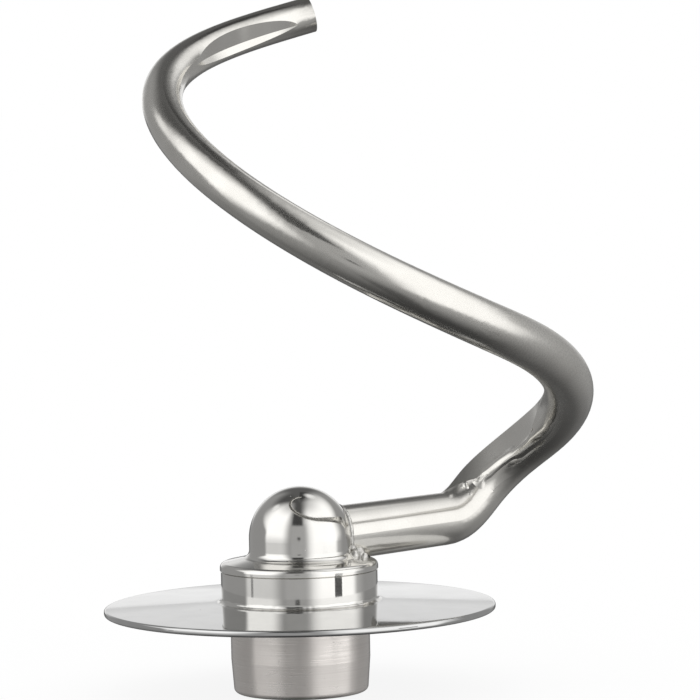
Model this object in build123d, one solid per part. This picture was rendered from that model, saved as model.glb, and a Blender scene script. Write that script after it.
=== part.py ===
"""Spiral dough hook of a planetary mixer, standing on its drive socket.

Frame: millimetres, +Z up, origin in the middle of the socket's mouth, on the drive axis.
The arm leaves the hub towards +X and the coil climbs above the hub.
"""
from build123d import *
import math
import os

# Drive socket: a turned sleeve with a blind bore and a bayonet slot for the shaft's cross pin
socket_d = 32.0
socket_taper_h = 8.0          # lower stretch that narrows towards the mouth
socket_mouth_d = 30.8
socket_edge_r = 1.2
bore_d = 16.0
bore_depth = 24.0
bore_chamfer = 0.8
spigot_d = 24.0               # step that carries the guard and the collar
slot_w = 6.2                  # room for a 6 mm cross pin
slot_reach = 12.5             # top of the slot above the mouth
slot_turn = 40.0              # degrees from the way in to the pin's seat
slot_seat_drop = 1.2          # the seat lies this much nearer the mouth
spigot_play = 0.05            # between the spigot and the pieces on it

# Dough guard: a thin round plate, its rim a little lower than its middle
guard_d = 90.0
guard_t = 1.5
guard_rim_z = 20.0            # top of the rim above the mouth
guard_dish = 1.0
guard_flat_margin = 0.4       # flat ring outside the weld at the collar's foot
guard_edge_r = 0.6

# Hub: collar and domed cap
collar_d = 36.0
collar_h = 7.3
collar_edge = 0.3
foot_weld = 1.1               # leg of the weld between the collar and the guard
cap_overhang = 0.2            # of the brim past the collar
cap_lip_h = 1.6               # outer edge of the brim, before its rounding
cap_edge_r = 1.2
cap_brim_slope = 12.0         # degrees
dome_d = 23.6
dome_centre_h = 7.15          # centre of the dome above the underside of the cap
dome_off = 0.4                # the dome sits a little off the drive axis, towards the arm
dome_fillet = 0.8

# Hook bar: a round bar that tapers from the hub to the tip
bar_d_hub = 12.9
bar_d_mid = 10.3              # half-way along the bar
bar_d_tip = 8.5
bar_seat = 4.0                # inner end of the bar from the drive axis
arm_drop = 0.3                # the bar's axis starts this far below the dome's centre
arm_len = 37.9                # from the drive axis to the lower bend
arm_rise = 3.2                # degrees
arm_back = 25.7               # degrees from +X towards +Y
rise_start = (9.2, 5.1, 7.0)      # from the end of the arm
rise_end = (15.5, 4.7, 13.3)      # from the end of the arm
bend_out = (5.6, 45.0, -21.8)     # on the right-hand bend, from the coil's start
coil_centre = (-19.1, -26.2)      # from the end of the arm
coil_r = 43.7
coil_z = 37.0                 # height where the coil's turn is zero, above the end of the arm
coil_rise = 80.9              # over coil_turn
coil_sway = 4.9               # the climb is slower in front and quicker at the left-hand bend
coil_sway_turn = -5.5         # degrees
coil_from = 30.0              # degrees
coil_turn = 252.0             # degrees, for the climb
coil_to = 257.3               # degrees, to the tip
coil_knots = 13               # points that the curve passes through on the coil

# Marks pressed into the bar by forming wheels: a groove near the tip and a flat above the lower bend
groove_turn = 227.7           # degrees of the coil
groove_way = (0.61, -0.79, 0.0)
groove_wheel_r = 30.0
groove_depth = 1.75
groove_len = 36.0             # longer than the mark that the wheel leaves
groove_floor = 15.0           # degrees, the wide upper face
groove_wall = 23.0            # degrees, the narrow lower face
groove_crease = 1.2           # crease between the faces, below the middle of the bar
flat_up = 14.6                # height of the flat's middle above the end of the arm
flat_way = (-0.64, -0.46, 0.62)
flat_wheel_r = 28.0
flat_depth = 2.6
flat_len = 40.0               # longer than the mark that the wheel leaves

# Weld at the dome: a raised strip round the bar and a lump between the bar and the brim
arm_strip_w = 1.45            # along the bar, from the dome
arm_strip_t = 0.7
arm_blob_r = 2.3
arm_blob_out = 1.7            # from the dome
arm_blob_turn = 22.5          # degrees from the arm towards the front

cut_past = 1.0                # cutting tools run this far past a face

# Heights worked out from the sizes above
guard_top = guard_rim_z + guard_dish
guard_under = guard_top - guard_t
collar_top = guard_top + collar_h
dome_z = collar_top + dome_centre_h
cap_r = collar_d / 2 + cap_overhang
brim_z = collar_top + cap_lip_h
brim_peak_z = brim_z + cap_r * math.tan(math.radians(cap_brim_slope))
brim_in_z = brim_z + (cap_r - dome_d / 2) * math.tan(math.radians(cap_brim_slope))


def corner(outline, x, z):
    """Corner of an outline that lies nearest to a point."""
    return outline.vertices().sort_by_distance((x, z, 0))[0]


def turned(outline, arc=360):
    """Solid of revolution about the drive axis, from an outline of radius and height."""
    return revolve(Plane.XZ * outline, Axis.Z, arc)


def drive_socket():
    bore_r, mouth_r, outer_r, spigot_r = bore_d / 2, socket_mouth_d / 2, socket_d / 2, spigot_d / 2
    outline = make_face(Polyline(
        (bore_r + bore_chamfer, 0), (mouth_r, 0), (outer_r, socket_taper_h), (outer_r, guard_under),
        (spigot_r, guard_under), (spigot_r, collar_top), (0, collar_top), (0, bore_depth),
        (bore_r, bore_depth), (bore_r, bore_chamfer), close=True,
    ))
    outline = fillet(corner(outline, mouth_r, 0), socket_edge_r)
    return turned(outline) - bayonet_slot()


def bayonet_slot():
    """Way in from the mouth, a leg round the wall and a seat for the pin, on the rear of the socket."""
    pin_z = slot_reach - slot_w / 2
    reach = socket_d / 2 + cut_past
    inside = bore_d / 2 - cut_past
    way_in = Pos(0, pin_z / 2) * Rectangle(slot_w, pin_z) + Pos(0, pin_z) * Circle(slot_w / 2)
    entry = extrude(Plane.XZ * way_in, amount=-reach)
    leg = turned(Pos((inside + reach) / 2, pin_z) * Rectangle(reach - inside, slot_w), slot_turn)
    seat = Pos((inside + reach) / 2, 0, pin_z - slot_seat_drop) * Rot(0, 90, 0)
    seat = Rot(0, 0, slot_turn) * seat * Cylinder(slot_w / 2, reach - inside)
    return entry + Rot(0, 0, 90) * (leg + seat)


def guard_disc():
    hole_r, rim_r = spigot_d / 2 + spigot_play, guard_d / 2
    flat_r = collar_d / 2 + foot_weld + guard_flat_margin
    rim_under = guard_rim_z - guard_t
    outline = make_face(Polyline(
        (hole_r, guard_under), (flat_r, guard_under), (rim_r, rim_under), (rim_r, guard_rim_z),
        (flat_r, guard_top), (hole_r, guard_top), close=True,
    ))
    rim = [corner(outline, rim_r, rim_under), corner(outline, rim_r, guard_rim_z)]
    return turned(fillet(rim, min(guard_edge_r, 0.45 * guard_t)))


def collar():
    hole_r, outer_r = spigot_d / 2 + spigot_play, collar_d / 2
    outline = make_face(Polyline(
        (hole_r, guard_top), (outer_r, guard_top), (outer_r, collar_top), (hole_r, collar_top), close=True,
    ))
    return turned(chamfer(corner(outline, outer_r, collar_top), collar_edge))


def collar_weld():
    """Hollow fillet of weld metal round the foot of the collar."""
    inner, outer = collar_d / 2, collar_d / 2 + foot_weld
    top = guard_top + foot_weld
    sag = foot_weld * (1 - math.sqrt(0.5))
    face = ThreePointArc((outer, guard_top), (inner + sag, guard_top + sag), (inner, top))
    legs = Polyline((inner, top), (inner, guard_top), (outer, guard_top))
    return turned(make_face(face + legs))


def dome(grown=0):
    """Round-topped post on the brim; grown makes it larger all round."""
    r = dome_d / 2 + grown
    mid = r * math.sqrt(0.5)
    base = Polyline((0, dome_z + r), (0, collar_top), (r, collar_top), (r, dome_z))
    top = ThreePointArc((r, dome_z), (mid, dome_z + mid), (0, dome_z + r))
    return Pos(dome_off, 0) * turned(make_face(base + top))


def hub_cap():
    outline = make_face(Polyline(
        (0, collar_top), (cap_r, collar_top), (cap_r, brim_z), (0, brim_peak_z), close=True,
    ))
    cap = turned(fillet(corner(outline, cap_r, brim_z), cap_edge_r)) + dome()
    return fillet(cap.edges().filter_by(GeomType.BSPLINE), dome_fillet)


def arm_direction():
    rise, back = math.radians(arm_rise), math.radians(arm_back)
    return Vector(math.cos(rise) * math.cos(back), math.cos(rise) * math.sin(back), math.sin(rise))


def on_arm(distance):
    """Point of the bar's axis on the straight arm, at a distance from the drive axis."""
    return Vector(0, 0, dome_z - arm_drop) + arm_direction() * distance


def arm_end():
    return on_arm(arm_len)


def arm_hole(grown=0):
    """Round seat in the hub for the inner end of the bar; grown makes it wider."""
    start = Plane(on_arm(bar_seat), z_dir=arm_direction())
    return start * Cylinder(bar_d_hub / 2 + grown, dome_d, align=(Align.CENTER, Align.CENTER, Align.MIN))


def coil_point(turn):
    """Point of the bar's centre line on the coil, for a turn in degrees."""
    share = turn / coil_turn
    angle = math.radians(turn)
    sway = coil_sway * math.sin(2 * math.pi * share - math.radians(coil_sway_turn))
    return arm_end() + Vector(
        coil_centre[0] + coil_r * math.cos(angle),
        coil_centre[1] - coil_r * math.sin(angle),
        coil_z + coil_rise * share - sway,
    )


def bar_path():
    """Centre line: the straight arm, then one smooth curve over both bends and the coil to the tip."""
    way, end = arm_direction(), arm_end()
    arm = Line(on_arm(bar_seat), end)
    step = (coil_to - coil_from) / (coil_knots - 1)
    coil = [coil_point(coil_from + i * step) for i in range(coil_knots)]
    bends = [end + Vector(*rise_start), end + Vector(*rise_end), coil[0] + Vector(*bend_out)]
    tip_way = coil_point(coil_to) - coil_point(coil_to - 0.5)
    bent = Spline([end, *bends, *coil], tangents=(way, tip_way), tangent_scalars=(1, 1))
    return Wire([arm, bent])


def square_to(path, share):
    """Plane square to the path."""
    way = path % share
    return Plane(origin=path @ share, x_dir=way.cross(Vector(0, 0, 1)), z_dir=way)


def nearest_share(path, wanted):
    """Share of the path's length where a measure of the point is smallest."""
    steps = 400
    return min((i / steps for i in range(steps + 1)), key=lambda share: wanted(path @ share))


def bar_d(share):
    """Diameter of the bar, from the hub at 0 to the tip at 1."""
    near, far = bar_d_mid - bar_d_hub, bar_d_tip - bar_d_hub
    return bar_d_hub + (4 * near - far) * share + 2 * (far - 2 * near) * share**2


def forming_wheel(path, share, towards, edge, depth, length):
    """Part of a wheel that presses a mark into the bar; edge holds the radius and height of its corners."""
    way = path % share
    out = Vector(*towards)
    out = (out - way * out.dot(way)).normalized()
    inner_r = min(radius for radius, height in edge) - depth - cut_past
    wheel_r = max(radius for radius, height in edge)
    rim = make_face(Polyline((inner_r, edge[0][1]), *edge, (inner_r, edge[-1][1]), close=True))
    arc = math.degrees(length / wheel_r)
    wheel = Rot(0, 0, -arc / 2) * turned(rim, arc)
    hub = path @ share + out * (bar_d(share) / 2 - depth + wheel_r)
    return Plane(origin=hub, x_dir=-out, z_dir=way.cross(out)) * wheel


def tip_groove(path):
    middle = coil_point(groove_turn)
    share = nearest_share(path, lambda point: (point - middle).length)
    half = bar_d(share) / 2
    floor_drop = (half + groove_crease) * math.tan(math.radians(groove_floor))
    wall_drop = (half - groove_crease) * math.tan(math.radians(groove_wall))
    r = groove_wheel_r
    edge = [(r - floor_drop, -half), (r, groove_crease), (r - wall_drop, half)]
    return forming_wheel(path, share, groove_way, edge, groove_depth, groove_len)


def rise_flat(path):
    flat_z = arm_end().Z + flat_up
    share = nearest_share(path, lambda point: abs(point.Z - flat_z))
    half = bar_d(share) / 2
    edge = [(flat_wheel_r, -half), (flat_wheel_r, half)]
    return forming_wheel(path, share, flat_way, edge, flat_depth, flat_len)


def hook_bar():
    path = bar_path()
    rounds = [square_to(path, share) * Circle(bar_d(share) / 2) for share in (0, 0.5, 1)]
    bar = sweep(rounds, path=path, multisection=True)
    return bar - tip_groove(path) - rise_flat(path)


def arm_weld(cap):
    """Strip round the bar where it leaves the dome, and a lump between the bar and the brim."""
    strip = arm_hole(arm_strip_t) & dome(arm_strip_w)
    turn = Rot(0, 0, arm_back - arm_blob_turn)
    blob = turn * Pos(dome_d / 2 + arm_blob_out, 0, brim_in_z) * Sphere(arm_blob_r)
    return strip + blob - cap - arm_hole()


cap = hub_cap()
pieces = {
    "drive_socket": drive_socket(),
    "guard_disc": guard_disc(),
    "collar": collar(),
    "collar_weld": collar_weld(),
    "hub_cap": cap - arm_hole(),
    "hook_bar": hook_bar(),
    "arm_weld": arm_weld(cap),
}
os.makedirs("parts", exist_ok=True)
for name, piece in pieces.items():
    print(name, len(piece.solids()), piece.is_valid, round(piece.volume))
    export_step(piece, f"parts/{name}.step")
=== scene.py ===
"""Looks of the spiral dough hook: polished, satin and brushed stainless steel in a soft white studio.

Metres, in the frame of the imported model: +Z up along the drive axis, -Y towards the photograph's camera.
"""
import math

import bpy
from mathutils import Euler, Matrix, Vector, noise
from mathutils.bvhtree import BVHTree


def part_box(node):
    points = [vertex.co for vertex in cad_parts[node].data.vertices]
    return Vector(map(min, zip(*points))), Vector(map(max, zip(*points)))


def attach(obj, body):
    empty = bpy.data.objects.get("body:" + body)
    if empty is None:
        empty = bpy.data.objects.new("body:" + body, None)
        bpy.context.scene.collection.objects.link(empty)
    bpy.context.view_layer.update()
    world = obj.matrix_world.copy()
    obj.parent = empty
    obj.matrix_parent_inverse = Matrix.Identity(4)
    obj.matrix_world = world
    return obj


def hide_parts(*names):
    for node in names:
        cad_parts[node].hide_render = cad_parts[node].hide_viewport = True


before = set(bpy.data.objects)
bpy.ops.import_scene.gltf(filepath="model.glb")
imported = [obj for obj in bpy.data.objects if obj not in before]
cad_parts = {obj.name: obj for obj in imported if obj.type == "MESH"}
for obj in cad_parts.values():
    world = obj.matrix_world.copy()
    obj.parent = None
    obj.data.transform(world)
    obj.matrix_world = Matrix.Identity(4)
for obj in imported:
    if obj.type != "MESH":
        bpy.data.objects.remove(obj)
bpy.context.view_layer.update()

# Camera, fitted to the outlines of the guard, the collar and the socket in the photograph
camera_place = (0.0, -0.9, 0.13733)
camera_yaw = -0.806           # degrees from +Y, positive to the left
camera_pitch = -3.749         # degrees, positive upwards
camera_roll = -1.100          # degrees about the line of sight
camera_near = 0.01            # anything nearer is cut off
lens_mm = 202.58
sensor_mm = 36.0

# Studio: a shell that the metal mirrors; angles in degrees, azimuth from the camera towards +X
studio_r = 3.0
studio_step = 1.5
opening_half = 20.0           # the shell is open behind the object, towards the white backdrop
opening_from = 2.9
opening_top = 7.3
lens_azimuth = -3.0           # the round dark spot that the camera leaves in the mirror
lens_elevation = 4.0
lens_edge = (2.5, 5.0)
left_top_fade = 0.65          # share of its light that each lamp loses towards its top
right_top_fade = 0.52

# Glow of the studio's parts, where 1 is the white outside the shell
lamp_glow = 1.5
wall_glow = 0.36
ceiling_glow = 0.10
front_glow = 0.48             # wall on the camera's side
front_top_glow = 0.07         # above that wall
lens_glow = 0.14
back_panel_glow = 0.88        # light panel round the opening
back_line_glow = 0.68         # dimmer line along the opening's top
back_edge_glow = 0.55         # soft edge of that panel
back_foot_glow = 0.16         # below that panel
back_top_glow = 0.13          # above that panel
back_right_glow = 0.06        # dark place high up behind, on the right
table_glow = 0.28             # plain table, to which the next two add
table_front_more = 0.08
table_right_more = 0.11
table_back_glow = 0.14
table_near_glow = 0.16        # on the camera's side, steeply down
table_below_glow = 0.06       # straight below

# White cards close to the coil's upper bend, by the azimuth and elevation at which the bend sees them
cards = [(-112.0, 34.0), (138.0, 32.0)]
card_aim = Vector((-0.035, -0.010, 0.140))
card_far = 0.15
card_r = 0.045
card_core = 0.2               # share of the radius that is fully bright
card_glow = 1.1

# Dark flags near the collar, by azimuth, width and glow; each leaves a dark upright stripe on it
flags = [(56.0, 0.030, 0.10), (-69.5, 0.010, 0.34)]
flag_far = 0.150
flag_low = 0.0052
flag_top = 0.0124

# White floor
floor_r = 30.0
floor_sides = 128
floor_drop = 0.0002
floor_shine = 0.88            # share of the floor's white that no shadow darkens

# Tones of the steel; each metal is a mix of two
hub_tones = ((0.71, 0.70, 0.675), (0.68, 0.67, 0.645))
guard_tones = ((0.60, 0.60, 0.595), (0.56, 0.56, 0.555))
bar_tones = ((0.70, 0.685, 0.65), (0.66, 0.645, 0.61))
socket_tones = ((0.84, 0.80, 0.765), (0.78, 0.74, 0.705))
weld_tones = ((0.46, 0.45, 0.43), (0.74, 0.73, 0.70))

# Ranges of a noise texture's values: around its middle, and nearly all of it
noise_middle = (0.35, 0.65)
noise_wide = (0.3, 0.7)

# Finish of the bar: the places between which each finish comes in or goes out
satin_from_x = (0.030, 0.056)
satin_from_z = (0.062, 0.072)
grain_from_z = (0.050, 0.080)
grain_to_z = (0.143, 0.151)
arm_to_z = (0.046, 0.056)

# Guard sheet
guard_top = 0.021
guard_thick = 0.0015
guard_dish = 0.001            # the rim lies lower by this
guard_hole_r = 0.01205
guard_flat_r = 0.0195
guard_fold = 0.0005           # half the width of the fold where the dish begins
guard_fold_drop = 0.00002
rim_round_r = 0.0006
rim_lead = 0.0008             # narrow strip that leads to the rounding
rim_lead_rise = 0.00005

# Sizes of the model that the welds and the foot of the cap follow
collar_r = 0.018
dome_r = 0.0118
dome_at = Vector((0.0004, 0.0, 0.03545))
arm_from = Vector((0.0, 0.0, 0.03515))    # where its middle line meets the drive axis
arm_r = 0.00645
arm_rise = 3.2                # degrees
arm_back = 25.7               # degrees from +X towards +Y
cap_r = 0.0182
brim_z = 0.0299               # at the brim's edge
brim_slope = math.tan(math.radians(12))

# Welds; waves of a surface are given by their size and their count along a metre
arm_bead_r = 0.00062
arm_bead_more = 0.00025       # added below the arm
arm_bead_sink = 0.00012       # depth of the bead's middle line in the bar
arm_bead_reach = 0.02         # farthest place along the bar where its edge can leave the dome
bead_waves = [(0.28, 1500)]
weld_drops = [                # place and radius of the drops of weld between dome, arm and brim
    (0.0134, 0.0006, 0.0312, 0.0021),
    (0.0128, -0.0014, 0.0312, 0.0012),
    (0.0122, -0.0004, 0.0330, 0.0011),
    (0.0150, -0.0006, 0.0307, 0.0010),
]
drop_waves = [(0.16, 700), (0.06, 1900)]
collar_leg = 0.001012         # mean leg of the fillet at the collar's foot
collar_waves = [(0.00022, 420), (0.00011, 1300)]

# Foot of the cap
foot_r = 0.0020               # rounding between the dome and the brim
foot_sink = 0.0003            # depth of its hidden corner in the cap

# Crease beside the flat above the lower bend: places on the bar along its crest, from its lower end
crease_line = [
    Vector((0.0411, 0.0153, 0.0448)),
    Vector((0.0443, 0.0166, 0.0475)),
    Vector((0.0476, 0.0162, 0.0502)),
    Vector((0.0503, 0.0142, 0.0522)),
    Vector((0.0532, 0.0116, 0.0545)),
    Vector((0.0554, 0.0087, 0.0566)),
    Vector((0.0575, 0.0044, 0.0590)),
    Vector((0.0587, -0.0021, 0.0625)),
]
crease_h = 0.0010             # at its lower end
crease_h_top = 0.0005
crease_sinks = (0.2, 0.8)     # shares of its length between which it goes over to its upper height
crease_starts = (0, 0.12)     # shares of its length between which it rises out of the bar
crease_ends = (0.6, 1)        # shares of its length between which it runs out
crease_flat_w = 0.0036        # width of its gentle side, on the flat
crease_steep_w = 0.0027       # width of its steep side at its lower end
crease_steep_w_top = 0.0020
crease_root = 0.0006          # depth to which it reaches into the bar
crease_edge = 0.0002          # depth of its border in the bar
crease_edge_cells = 5         # cells over which the border comes up to the bar's skin
crease_rows = 80
crease_columns = 44
crease_rounds = 12            # rounds of evening out
crease_look = 0.02            # share of its length over which its direction is taken
pinches = [                   # place and radius of the lumps at its lower end
    (0.0393, 0.0164, 0.0446, 0.0013),
    (0.0403, 0.0151, 0.0428, 0.0009),
]

# Turned pieces keep edges over this angle sharp
sharp_angle = math.radians(50)


def smooth(value, low, high):
    """0 below low, 1 above high, and a smooth step between them."""
    share = min(max((value - low) / (high - low), 0), 1)
    return share * share * (3 - 2 * share)


def band(value, rise, fall):
    """1 between two smooth edges, each given as the pair of values where it starts and ends."""
    return smooth(value, *rise) * (1 - smooth(value, *fall))


def between(first, second, share):
    """Value or place at a share of the way from the first to the second."""
    return first + (second - first) * share


def towards(azimuth, elevation):
    """Direction that the two angles give."""
    a = math.radians(azimuth)
    e = math.radians(elevation)
    return Vector((math.sin(a) * math.cos(e), -math.cos(a) * math.cos(e), math.sin(e)))


def panel(azimuth, elevation, left=None, right=None, low=None, high=None):
    """Share of a panel of the studio; an edge is the pair of angles between which the panel fades."""
    share = 1.0
    if left:
        share *= smooth(azimuth, *left)
    if right:
        share *= 1 - smooth(azimuth, *right)
    if low:
        share *= smooth(elevation, *low)
    if high:
        share *= 1 - smooth(elevation, *high)
    return share


def left_lamp(azimuth, elevation, across):
    """Share of the large soft lamp on the left; higher up, its rear edge is softer."""
    raised = smooth(elevation, 10, 32)
    rear_edge = (between(-88, -128, raised), between(-80, -84, raised))
    share = panel(azimuth, elevation, left=rear_edge, right=(-46, -14), low=(-22, 14))
    share *= 1 - left_top_fade * smooth(elevation, 46, 78)
    return share * smooth(-across, 0.13, 0.66)


def right_lamp(azimuth, elevation, across):
    """Share of the large soft lamp on the right, which reaches down to the table."""
    raised = smooth(elevation, 20, 52)
    rear_edge = (between(84, 100, raised), between(114, 185, raised))
    rear = smooth(azimuth, 82, 96)
    low_edge = (between(-26, -12, rear), between(-4, 6, rear))
    share = panel(azimuth, elevation, right=rear_edge, low=low_edge)
    share *= 1 - right_top_fade * smooth(elevation, 48, 80)
    return share * smooth(across, 0.0, 0.60)


def wall_layers(azimuth, elevation):
    """Glow and share of each lamp and panel in one direction, the nearest last."""
    # Close to overhead the sides run together, so a step sideways counts for less there
    narrowing = min(2 * math.cos(math.radians(elevation)), 1)
    across = math.sin(math.radians(azimuth)) * narrowing
    aside = abs(azimuth)
    from_lens = math.hypot(azimuth - lens_azimuth, elevation - lens_elevation)
    yield ceiling_glow, panel(azimuth, elevation, low=(36, 60))
    yield back_top_glow, panel(aside, elevation, left=(154, 172), low=(14, 34))
    yield lamp_glow, left_lamp(azimuth, elevation, across)
    yield lamp_glow, right_lamp(azimuth, elevation, across)
    yield back_right_glow, panel(azimuth, elevation, left=(150, 162), low=(46, 56), high=(74, 84))
    yield front_glow, panel(
        azimuth, elevation, left=(-27, -17), right=(3, 22), low=(-40, -20), high=(30, 40))
    yield front_top_glow, panel(
        azimuth, elevation, left=(-24, -18), right=(4, 11), low=(30, 36), high=(55, 68))
    yield lens_glow, 1 - smooth(from_lens, *lens_edge)
    yield back_foot_glow, panel(aside, elevation, left=(150, 165), high=(0, 3))
    yield back_edge_glow, panel(aside, elevation, left=(146, 156), low=(0, 3), high=(10, 26))
    yield back_panel_glow, panel(aside, elevation, left=(158, 164), low=(0, 3), high=(13, 20))
    yield back_line_glow, panel(aside, elevation, left=(158, 164), low=(6, 7.5), high=(7.5, 9))


def table_layers(azimuth, elevation):
    """Glow and share of each darker part of the table in one direction, the nearest last."""
    yield table_back_glow, panel(abs(azimuth), elevation, left=(130, 165))
    yield table_near_glow, panel(azimuth, elevation, left=(-30, -16), right=(0, 16), high=(-44, -24))
    yield table_below_glow, panel(azimuth, elevation, high=(-80, -14))


def painted(glow, layers):
    """The glow after layers, each a glow and its share, are laid over it."""
    for layer_glow, share in layers:
        glow = between(glow, layer_glow, share)
    return glow


def studio_glow(azimuth, elevation):
    """Glow of the studio in one direction: the wall with its lamps, and below it the table."""
    wall = painted(wall_glow, wall_layers(azimuth, elevation))
    table = table_glow
    table += table_front_more * panel(azimuth, elevation, left=(-110, -80))
    table += table_right_more * panel(azimuth, elevation, left=(0, 50), right=(60, 95))
    table = painted(table, table_layers(azimuth, elevation))
    return between(wall, table, panel(azimuth, elevation, high=(-26, -8)))


class Tree:
    """Short way to add nodes to a node tree and to join them."""

    def __init__(self, owner):
        owner.use_nodes = True
        self.tree = owner.node_tree
        self.tree.nodes.clear()

    def add(self, kind, values=None, **settings):
        node = self.tree.nodes.new("ShaderNode" + kind)
        for name, value in settings.items():
            setattr(node, name, value)
        for name, value in (values or {}).items():
            if isinstance(value, bpy.types.NodeSocket):
                self.tree.links.new(value, node.inputs[name])
            else:
                node.inputs[name].default_value = value
        return node

    def place(self):
        """Position in the frame, in metres."""
        return self.add("TexCoord").outputs["Object"]

    def noise(self, place, scale, detail, roughness=0.5):
        values = {"Vector": place, "Scale": scale, "Detail": detail, "Roughness": roughness}
        return self.add("TexNoise", values).outputs["Fac"]

    def stretched(self, place, scale):
        return self.add("VectorMath", {0: place, 1: scale}, operation="MULTIPLY").outputs["Vector"]

    def spread(self, value, old, new):
        """Carries one range of values over to another, with its ends held."""
        values = {"Value": value, "From Min": old[0], "From Max": old[1], "To Min": new[0], "To Max": new[1]}
        return self.add("MapRange", values).outputs["Result"]

    def sum(self, first, second):
        return self.add("Math", {0: first, 1: second}, operation="ADD").outputs["Value"]

    def product(self, first, second):
        return self.add("Math", {0: first, 1: second}, operation="MULTIPLY").outputs["Value"]

    def bump(self, height, strength, distance):
        values = {"Height": height, "Strength": strength, "Distance": distance}
        return self.add("Bump", values).outputs["Normal"]

    def tinted(self, share, tones):
        """Mix of two colours."""
        mix = self.add("Mix", data_type="RGBA")
        self.tree.links.new(share, mix.inputs["Factor"])
        mix.inputs["A"].default_value = (*tones[0], 1)
        mix.inputs["B"].default_value = (*tones[1], 1)
        return next(out for out in mix.outputs if out.type == "RGBA")

    def glow(self):
        """The glow that each point of a piece of the studio carries."""
        return self.add("Attribute", attribute_name="glow").outputs["Fac"]

    def white_light(self, strength):
        return self.add("Emission", {"Color": (1, 1, 1, 1), "Strength": strength}).outputs["Emission"]

    def metal(self, colour, roughness, normal, **extra):
        values = {"Base Color": colour, "Metallic": 1.0, "Roughness": roughness, "Normal": normal}
        return self.add("BsdfPrincipled", {**values, **extra}).outputs["BSDF"]

    def blend(self, share, first, second):
        return self.add("MixShader", {0: share, 1: first, 2: second}).outputs["Shader"]

    def show(self, surface):
        self.add("OutputMaterial", {"Surface": surface})


def new_material(name):
    """A material and its empty node tree."""
    material = bpy.data.materials.new(name)
    return material, Tree(material)


def new_object(name, vertices, faces, material):
    """A mesh in the scene."""
    mesh = bpy.data.meshes.new(name)
    mesh.from_pydata(vertices, [], faces)
    mesh.materials.append(material)
    piece = bpy.data.objects.new(name, mesh)
    bpy.context.scene.collection.objects.link(piece)
    return piece


def studio_material():
    """White light, as strong as each point's own glow."""
    material, tree = new_material("studio_light")
    tree.show(tree.white_light(tree.glow()))
    return material


def card_material():
    """White light that fades out towards the card's edge."""
    material, tree = new_material("card_light")
    glow = tree.glow()
    clear = tree.add("BsdfTransparent").outputs["BSDF"]
    tree.show(tree.blend(glow, clear, tree.white_light(card_glow)))
    return material


def strip_face(row, column, columns):
    """Face from one row of points to the next, in rows that close on themselves."""
    first = row * columns + column
    after = row * columns + (column + 1) % columns
    return first, after, after + columns, first + columns


def make_studio():
    """Walls, ceiling and table round the object, with soft lamps, open towards the white backdrop."""
    azimuths = [column * studio_step - 180 for column in range(round(360 / studio_step))]
    elevations = [row * studio_step - 90 for row in range(round(180 / studio_step) + 1)]
    vertices, glow, faces = [], [], []
    for elevation in elevations:
        for azimuth in azimuths:
            vertices.append(towards(azimuth, elevation) * studio_r)
            glow.append(studio_glow(azimuth, elevation))
    for row, elevation in enumerate(elevations[:-1]):
        for column, azimuth in enumerate(azimuths):
            behind = abs(azimuth) > 180 - opening_half
            if behind and opening_from <= elevation < opening_top:
                continue
            faces.append(strip_face(row, column, len(azimuths)))
    glowing("studio", vertices, faces, glow, studio_material())
    for number, (azimuth, elevation) in enumerate(cards):
        make_card(f"card_{number}", towards(azimuth, elevation))
    for number, (azimuth, width, flag_glow) in enumerate(flags):
        make_flag(f"flag_{number}", azimuth, width, flag_glow)


def glowing(name, vertices, faces, glow, material):
    """Piece of the studio that only the metal mirrors, with its own glow at each point."""
    piece = new_object(name, vertices, faces, material)
    attribute = piece.data.attributes.new("glow", "FLOAT", "POINT")
    attribute.data.foreach_set("value", glow)
    piece.visible_camera = False
    piece.visible_diffuse = False
    piece.visible_shadow = False


def make_card(name, way):
    """Round white card, bright in the middle, that faces the coil's upper bend."""
    across = way.cross(Vector((0, 0, 1))).normalized()
    up = across.cross(way)
    rings, turns = 8, 32
    vertices, glow, faces = [], [], []
    for ring in range(rings + 1):
        for turn in range(turns):
            angle = 2 * math.pi * turn / turns
            out = (across * math.cos(angle) + up * math.sin(angle)) * card_r * ring / rings
            vertices.append(card_aim + way * card_far + out)
            glow.append(1 - smooth(ring / rings, card_core, 1))
    for ring in range(rings):
        for turn in range(turns):
            faces.append(strip_face(ring, turn, turns))
    glowing(name, vertices, faces, glow, card_material())


def make_flag(name, azimuth, width, glow):
    """Dark upright flag that faces the drive axis."""
    middle = towards(azimuth, 0) * flag_far
    left = middle - towards(azimuth + 90, 0) * width / 2
    right = middle + towards(azimuth + 90, 0) * width / 2
    low = Vector((0, 0, flag_low))
    top = Vector((0, 0, flag_top))
    vertices = [left + low, right + low, right + top, left + top]
    glowing(name, vertices, [(0, 1, 2, 3)], [glow] * 4, studio_material())


def floor_material():
    """White, with the object's shadow on it; the camera alone sees the part that no shadow darkens."""
    material, tree = new_material("floor_white")
    matt = tree.add("BsdfDiffuse", {"Color": (1, 1, 1, 1)}).outputs["BSDF"]
    seen = tree.add("LightPath").outputs["Is Camera Ray"]
    white = tree.white_light(1.0)
    tree.show(tree.blend(tree.product(seen, floor_shine), matt, white))
    return material


def make_floor():
    """Plain pale floor, which the camera sees and the metal does not mirror."""
    rim = []
    for i in range(floor_sides):
        angle = 2 * math.pi * i / floor_sides
        rim.append((floor_r * math.cos(angle), floor_r * math.sin(angle), -floor_drop))
    floor = new_object("floor", rim, [tuple(range(floor_sides))], floor_material())
    floor.visible_glossy = False


def make_world():
    """White world outside the studio; it lights the floor and shows behind it."""
    world = bpy.data.worlds.new("white_backdrop")
    bpy.context.scene.world = world
    tree = Tree(world)
    light = tree.add("Background", {"Color": (1, 1, 1, 1), "Strength": 1.0})
    tree.add("OutputWorld", {"Surface": light.outputs["Background"]})


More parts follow.
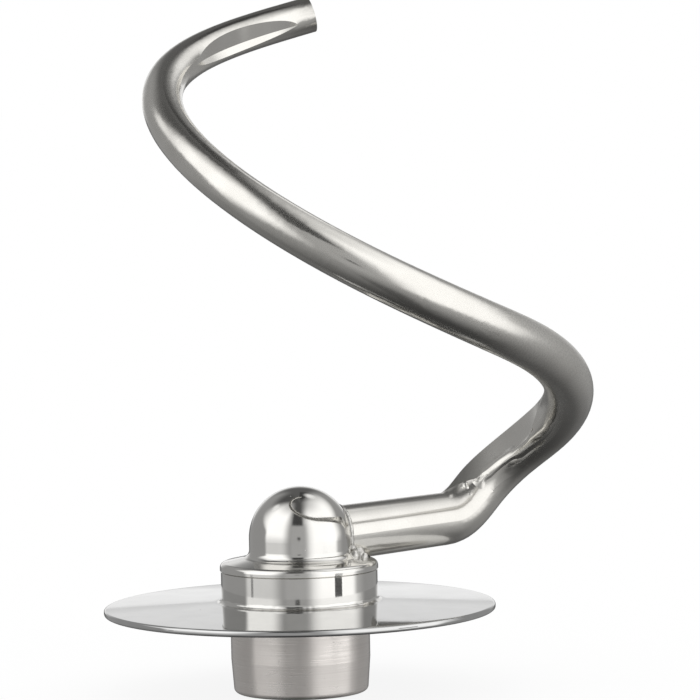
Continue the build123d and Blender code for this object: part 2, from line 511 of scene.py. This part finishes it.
def make_camera():
    """Camera at the photograph's viewing angle."""
    camera = bpy.data.objects.new("camera", bpy.data.cameras.new("camera"))
    camera.data.lens = lens_mm
    camera.data.sensor_width = sensor_mm
    camera.data.clip_start = camera_near
    aim = Euler((math.radians(90 + camera_pitch), 0, math.radians(camera_yaw))).to_matrix()
    aim = aim @ Matrix.Rotation(math.radians(camera_roll), 3, "Z")
    camera.matrix_world = Matrix.Translation(camera_place) @ aim.to_4x4()
    bpy.context.scene.collection.objects.link(camera)
    bpy.context.scene.camera = camera


def polished(name, tones, roughness, pits):
    """Mirror-polished steel with faint cloudy patches, fine specks and pits in a share of its cells."""
    cloud_rough = (roughness * 0.7, roughness * 1.3)
    speck_range = (0.55, 0.8)
    speck_rough = 0.06
    speck_height = 0.05
    pit_edge = (0.05, 0.16)
    pit_choice = (1 - pits, 1 - pits * 0.8)
    pit_rough = 0.4
    pit_height = -1.0
    material, tree = new_material(name)
    place = tree.place()
    cloud = tree.noise(place, scale=160, detail=3)
    speck = tree.noise(place, scale=2600, detail=2)
    cells = tree.add("TexVoronoi", {"Vector": place, "Scale": 620.0}).outputs
    pit = tree.spread(cells["Distance"], pit_edge, (1, 0))
    chosen = tree.add("SeparateColor", {"Color": cells["Color"]}).outputs["Red"]
    pit = tree.product(pit, tree.spread(chosen, pit_choice, (0, 1)))
    tone = tree.tinted(tree.spread(cloud, noise_middle, (0, 1)), tones)
    rough = tree.spread(cloud, noise_wide, cloud_rough)
    rough = tree.sum(rough, tree.spread(speck, speck_range, (0, speck_rough)))
    rough = tree.sum(rough, tree.product(pit, pit_rough))
    height = tree.sum(tree.product(speck, speck_height), tree.product(pit, pit_height))
    relief = tree.bump(height, strength=0.10, distance=0.00004)
    tree.show(tree.metal(tone, rough, relief))
    return material


def bar_material():
    """Polished round bar: a mirror with fine grain, duller on the arm and on the right-hand bend."""
    clear_rough = (0.09, 0.13)
    bend_rough = 0.14
    dull_rough = (0.30, 0.42)
    arm_dull = 0.5
    bend_dull = 0.4
    grain_dull = (0.05, 0.35)
    grain_relief = 0.12
    grain_low = 0.15
    grain_tip = 0.3
    material, tree = new_material("bar_steel")
    place = tree.place()
    axes = tree.add("SeparateXYZ", {"Vector": place}).outputs
    bend = tree.spread(axes["X"], satin_from_x, (0, 1))
    bend = tree.product(bend, tree.spread(axes["Z"], satin_from_z, (0, 1)))
    grain = tree.noise(place, scale=2600, detail=3, roughness=0.6)
    grainy = tree.spread(axes["Z"], grain_from_z, (grain_low, 1))
    grainy = tree.product(grainy, tree.spread(axes["Z"], grain_to_z, (1, grain_tip)))
    arm = tree.spread(axes["Z"], arm_to_z, (1, 0))
    cloud = tree.noise(place, scale=120, detail=3)
    tone = tree.tinted(tree.spread(cloud, noise_middle, (0, 1)), bar_tones)
    relief = tree.bump(grain, tree.product(grainy, grain_relief), distance=0.00003)
    rough = tree.sum(tree.spread(cloud, noise_wide, clear_rough), tree.product(bend, bend_rough))
    clear = tree.metal(tone, rough, relief)
    dull = tree.metal(tone, tree.spread(bend, (0, 1), dull_rough), relief)
    share = tree.product(tree.spread(grain, noise_middle, grain_dull), grainy)
    share = tree.sum(share, tree.product(arm, arm_dull))
    share = tree.sum(share, tree.product(bend, bend_dull))
    tree.show(tree.blend(share, clear, dull))
    return material


def brushed_material():
    """Turned socket: fine lines round the drive axis, warm in tone, with a few rough specks."""
    long_lines = (60, 60, 4200)
    short_lines = (420, 420, 5200)
    line_rough = (0.26, 0.34)
    cloud_rough = (-0.03, 0.03)
    speck_range = (0.70, 0.78)
    speck_rough = 0.2
    material, tree = new_material("socket_steel")
    place = tree.place()
    lines = tree.noise(tree.stretched(place, long_lines), scale=1.0, detail=4, roughness=0.6)
    short = tree.noise(tree.stretched(place, short_lines), scale=1.0, detail=2)
    cloud = tree.noise(place, scale=130, detail=3)
    speck = tree.spread(tree.noise(place, scale=1500, detail=1), speck_range, (0, 1))
    tone = tree.tinted(tree.spread(lines, noise_wide, (0, 1)), socket_tones)
    rough = tree.sum(tree.spread(lines, noise_wide, line_rough), tree.product(speck, speck_rough))
    rough = tree.sum(rough, tree.spread(cloud, noise_wide, cloud_rough))
    relief = tree.bump(tree.sum(lines, short), strength=0.05, distance=0.00002)
    around = tree.add("Tangent", direction_type="RADIAL", axis="Z").outputs["Tangent"]
    brushed = {"Anisotropic": 0.85, "Anisotropic Rotation": 0.25, "Tangent": around}
    tree.show(tree.metal(tone, rough, relief, **brushed))
    return material


def weld_material():
    """Rough weld metal, lighter on its lumps and darker in its hollows, its tone following the same noise as
    its bumps.
    """
    lump_range = (0.35, 0.62)
    grain_rough = (0.26, 0.5)
    grain_height = 0.4
    material, tree = new_material("weld_metal")
    place = tree.place()
    lumps = tree.noise(place, scale=900, detail=4, roughness=0.65)
    grain = tree.noise(place, scale=3200, detail=2)
    tone = tree.tinted(tree.spread(lumps, lump_range, (0, 1)), weld_tones)
    rough = tree.spread(grain, noise_wide, grain_rough)
    height = tree.sum(lumps, tree.product(grain, grain_height))
    tree.show(tree.metal(tone, rough, tree.bump(height, strength=0.5, distance=0.0002)))
    return material


def dress(node, material):
    """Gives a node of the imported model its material."""
    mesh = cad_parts[node].data
    mesh.materials.clear()
    mesh.materials.append(material)


def steel_piece(name, vertices, faces, material):
    """Smoothly shaded piece on the object's one body."""
    piece = new_object(name, vertices, faces, material)
    piece.data.polygons.foreach_set("use_smooth", [True] * len(faces))
    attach(piece, "root")
    return piece


def waviness(place, waves):
    """How far an uneven surface stands out at a place."""
    return sum(size * noise.noise(place * count) for size, count in waves)


def ring_faces(rings, size):
    """Faces between rings of points, each ring joined to the next and the last one to the first."""
    faces = []
    for i in range(rings):
        k = (i + 1) % rings
        for j in range(size):
            m = (j + 1) % size
            faces.append((i * size + m, k * size + m, k * size + j, i * size + j))
    return faces


def arc(r, z, radius, start, end, steps):
    """Points of radius and height on an arc round (r, z), from one angle to another, in degrees."""
    points = []
    for j in range(steps + 1):
        turn = math.radians(between(start, end, j / steps))
        points.append((r + radius * math.cos(turn), z + radius * math.sin(turn)))
    return points


def turned(name, material, outline_at, turns, centre=Vector()):
    """Piece turned about an upright axis; its closed outline of radius and height may vary round it."""
    vertices = []
    for i in range(turns):
        angle = 2 * math.pi * i / turns
        outline = outline_at(angle)
        for r, z in outline:
            vertices.append(centre + Vector((r * math.cos(angle), r * math.sin(angle), z)))
    piece = steel_piece(name, vertices, ring_faces(turns, len(outline)), material)
    piece.data.set_sharp_from_angle(angle=sharp_angle)
    return piece


def guard_sheet(material):
    """The guard with a finely rounded rim."""
    low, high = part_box("guard_disc")
    rim_r = min(-low[0], -low[1], high[0], high[1])
    round_at = rim_r - rim_round_r
    rim_z = guard_top - guard_dish
    outline = [
        (guard_hole_r, guard_top - guard_thick),
        (guard_hole_r, guard_top),
        (guard_flat_r - guard_fold, guard_top),
        (guard_flat_r, guard_top),
        (guard_flat_r + guard_fold, guard_top - guard_fold_drop),
        (round_at - rim_lead, rim_z + rim_lead_rise),
        *arc(round_at, rim_z - rim_round_r, rim_round_r, 90, 0, steps=8),
        *arc(round_at, rim_z - guard_thick + rim_round_r, rim_round_r, 0, -90, steps=8),
        (round_at - rim_lead, rim_z - guard_thick + rim_lead_rise),
        (guard_flat_r, guard_top - guard_thick),
    ]
    piece = turned("guard_plate", material, lambda angle: outline, turns=360)
    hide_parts("guard_disc")


def brim_height(place):
    """Height of the cap's brim, which falls evenly towards its edge."""
    return brim_z + (cap_r - place.length) * brim_slope


def cap_foot(material):
    """Hollow rounding that carries the dome into the brim."""
    centre = Vector((dome_at.x, dome_at.y, 0))
    tilt = math.atan(brim_slope)
    mid_r = dome_r + foot_r

    def outline_at(angle):
        out = Vector((math.cos(angle), math.sin(angle), 0))
        corner_z = brim_height(centre + out * dome_r) - foot_sink
        mid_z = brim_height(centre + out * mid_r) + foot_r / math.cos(tilt)
        rounding = arc(mid_r, mid_z, foot_r, 180, 270 - math.degrees(tilt), steps=10)
        return [(dome_r - foot_sink, corner_z), *rounding]

    piece = turned("cap_foot", material, outline_at, turns=180, centre=centre)


def collar_bead(material):
    """Slightly wavy weld fillet round the foot of the collar."""

    def outline_at(angle):
        spot = Vector((math.cos(angle), math.sin(angle), 0)) * collar_r
        leg = collar_leg + waviness(spot, collar_waves)
        return [(collar_r, guard_top), *arc(collar_r + leg, guard_top + leg, leg, 180, 270, steps=8)]

    piece = turned("collar_bead", material, outline_at, turns=288)
    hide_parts("collar_weld")


def bead(loop, radii):
    """Points and faces of a closed tube along a loop, lumpy like a weld."""
    sides = 14
    count = len(loop)
    middle = sum(loop, Vector()) / count
    vertices = []
    for i, point in enumerate(loop):
        along = (loop[(i + 1) % count] - loop[i - 1]).normalized()
        out = point - middle
        out = (out - along * out.dot(along)).normalized()
        side = along.cross(out)
        for j in range(sides):
            angle = 2 * math.pi * j / sides
            way = out * math.cos(angle) + side * math.sin(angle)
            swell = 1 + waviness(point + way * radii[i], bead_waves)
            vertices.append(point + way * radii[i] * swell)
    return vertices, ring_faces(count, sides)


def drop(centre, radius):
    """Points and faces of an uneven round drop of metal."""
    rows, columns = 20, 32
    pole = Vector((0, 0, radius))
    vertices, faces = [centre + pole], []
    for i in range(1, rows):
        down = math.pi * i / rows
        for j in range(columns):
            turn = 2 * math.pi * j / columns
            out = Vector((math.cos(turn), math.sin(turn), 0))
            way = out * math.sin(down) + Vector((0, 0, math.cos(down)))
            swell = 1 + waviness(centre + way * radius, drop_waves)
            vertices.append(centre + way * radius * swell)
    vertices.append(centre - pole)
    last = len(vertices) - 1
    for j in range(columns):
        k = (j + 1) % columns
        faces.append((0, 1 + j, 1 + k))
        faces.append((last, last - columns + k, last - columns + j))
        for i in range(rows - 2):
            first = 1 + i * columns
            faces.append((first + j, first + columns + j, first + columns + k, first + k))
    return vertices, faces


def add_drops(vertices, faces, drops):
    """Adds drops of metal, each given by its place and radius, to a piece's points and faces."""
    for x, y, z, radius in drops:
        more, sides = drop(Vector((x, y, z)), radius)
        faces += [tuple(len(vertices) + i for i in side) for side in sides]
        vertices += more


def from_dome(point):
    """Distance of a point from the dome's surface; the dome is a round-topped post."""
    off = point - dome_at
    if off.z < 0:
        off.z = 0
    return off.length - dome_r


def out_of_dome(start, way):
    """Place where a line that starts inside the dome comes out of it, found by halving."""
    halvings = 40
    near, far = 0.0, arm_bead_reach
    for _ in range(halvings):
        middle = (near + far) / 2
        if from_dome(start + way * middle) < 0:
            near = middle
        else:
            far = middle
    return start + way * near


def arm_bead(material):
    """Weld round the bar where it leaves the dome, thicker below, with drops in front."""
    way = towards(90 + arm_back, arm_rise)
    side = way.cross(Vector((0, 0, 1))).normalized()
    top = side.cross(way)
    loop, radii = [], []
    turns = 120
    for i in range(turns):
        angle = 2 * math.pi * i / turns
        out = side * math.cos(angle) + top * math.sin(angle)
        loop.append(out_of_dome(arm_from + out * (arm_r - arm_bead_sink), way))
        below = smooth(-math.sin(angle), 0.1, 0.9)
        radii.append(arm_bead_r + arm_bead_more * below)
    vertices, faces = bead(loop, radii)
    add_drops(vertices, faces, weld_drops)
    piece = steel_piece("arm_bead", vertices, faces, material)
    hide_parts("arm_weld")


def along_line(points, share):
    """Place on a smooth curve through the points, at a share of the way along them."""
    spot = share * (len(points) - 1)
    i = min(int(spot), len(points) - 2)
    part = spot - i
    start, end = points[i], points[i + 1]
    pull_start = (end - points[max(i - 1, 0)]) / 2
    pull_end = (points[min(i + 2, len(points) - 1)] - start) / 2
    place = between(start, end, smooth(part, 0, 1))
    return place + pull_start * part * (1 - part) ** 2 - pull_end * part ** 2 * (1 - part)


def evened(grid):
    """The grid's points, drawn towards the middle of their neighbours; the border stays."""
    for _ in range(crease_rounds):
        after = [list(row) for row in grid]
        for i in range(1, len(grid) - 1):
            for j in range(1, len(grid[0]) - 1):
                middle = (grid[i - 1][j] + grid[i + 1][j] + grid[i][j - 1] + grid[i][j + 1]) / 4
                after[i][j] = (grid[i][j] + middle) / 2
        grid = after
    return grid


def crease_grids():
    """Points on the bar's skin, points below them and the lift of the crease, each as rows of a grid."""
    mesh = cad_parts["hook_bar"].data
    bar = BVHTree.FromPolygons([v.co for v in mesh.vertices], [p.vertices for p in mesh.polygons])
    skin, root, lift = [], [], []
    for i in range(crease_rows + 1):
        share = i / crease_rows
        point = along_line(crease_line, share)
        before = along_line(crease_line, max(share - crease_look, 0))
        after = along_line(crease_line, min(share + crease_look, 1))
        side = (after - before).cross(bar.find_nearest(point)[1]).normalized()
        steep_w = between(crease_steep_w, crease_steep_w_top, share)
        height = between(crease_h, crease_h_top, smooth(share, *crease_sinks))
        height *= band(share, crease_starts, crease_ends)
        for grid in (skin, root, lift):
            grid.append([])
        for j in range(crease_columns + 1):
            across = between(-crease_flat_w, steep_w, j / crease_columns)
            place, normal, _, _ = bar.find_nearest(point + side * across)
            from_edge = min(i, crease_rows - i, j, crease_columns - j)
            sunk = crease_edge * (1 - smooth(from_edge, 0, crease_edge_cells))
            skin[-1].append(place)
            root[-1].append(place - normal * crease_root)
            lift[-1].append(normal * (height * band(across, (-crease_flat_w, 0), (0, steep_w)) - sunk))
    return evened(skin), root, evened(lift)


def cell_triangles(i, j):
    """Two triangles of a cell of the crease's grid; at each corner of the grid the cut runs into it."""
    a, b, c, d = (i, j), (i, j + 1), (i + 1, j + 1), (i + 1, j)
    if (i < crease_rows / 2) == (j < crease_columns / 2):
        return [(a, b, c), (a, c, d)]
    return [(a, b, d), (b, c, d)]


def bar_crease(material):
    """Crease along the flat above the lower bend, with a steep side, and lumps at its lower end."""
    skin, root, lift = crease_grids()
    vertices, faces = [], []
    above, below = {}, {}
    for i in range(crease_rows + 1):
        for j in range(crease_columns + 1):
            below[i, j] = len(vertices)
            above[i, j] = len(vertices)
            vertices.append(root[i][j])
            if 0 < i < crease_rows and 0 < j < crease_columns:
                above[i, j] = len(vertices)
                vertices.append(skin[i][j] + lift[i][j])
    for i in range(crease_rows):
        for j in range(crease_columns):
            for corners in cell_triangles(i, j):
                faces.append(tuple(above[corner] for corner in corners))
                faces.append(tuple(below[corner] for corner in reversed(corners)))
    add_drops(vertices, faces, pinches)
    piece = steel_piece("bar_crease", vertices, faces, material)


dress("drive_socket", brushed_material())
guard_steel = polished("guard_sheet", guard_tones, roughness=0.05, pits=0.02)
dress("guard_disc", guard_steel)
guard_sheet(guard_steel)
dress("collar", polished("collar_steel", hub_tones, roughness=0.05, pits=0.03))
cap_steel = polished("cap_steel", hub_tones, roughness=0.08, pits=0.05)
dress("hub_cap", cap_steel)
cap_foot(cap_steel)
bar_steel = bar_material()
dress("hook_bar", bar_steel)
bar_crease(bar_steel)
weld = weld_material()
dress("collar_weld", weld)
dress("arm_weld", weld)
arm_bead(weld)
collar_bead(polished("foot_weld", hub_tones, roughness=0.10, pits=0.05))
make_studio()
make_floor()
make_world()
make_camera()
bpy.context.scene.view_settings.view_transform = "Standard"
